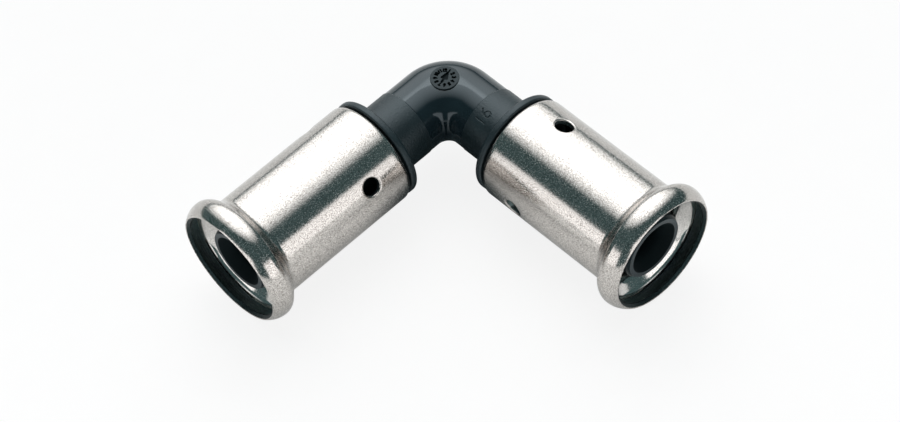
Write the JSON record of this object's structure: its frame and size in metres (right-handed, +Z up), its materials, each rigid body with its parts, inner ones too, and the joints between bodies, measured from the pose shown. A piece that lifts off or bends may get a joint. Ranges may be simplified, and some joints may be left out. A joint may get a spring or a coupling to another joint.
{
  "type": "press fit fitting",
  "caption": "Right-angle press elbow for 16 mm multilayer pipe: dark moulded body with ribbed spigots and O-rings, captive stainless press sleeves with rolled mouths and sight holes.",
  "frame": {"origin": "under the middle of the part's outline, on the plane that its two mouth beads stand on", "axes": "+X out of the first port, +Y out of the second port, +Z up from the plane on which the elbow lies, towards the date disc"},
  "size_m": [0.0602, 0.0602, 0.0227],
  "materials": {
    "moulded_plastic": "dark blue-grey moulded engineering plastic, satin, with grained bands beside the collars",
    "stainless_sleeve": "deep-drawn stainless sheet, tumbled to a fine grained satin",
    "seal_rubber": "black EPDM O-ring, smooth"
  },
  "bodies": {
    "root": {"elbow_body": "moulded_plastic", "sleeve_x": "stainless_sleeve", "sleeve_y": "stainless_sleeve", "oring_x_front": "seal_rubber", "oring_x_rear": "seal_rubber", "oring_y_front": "seal_rubber", "oring_y_rear": "seal_rubber"}
  },
  "joints": []
}
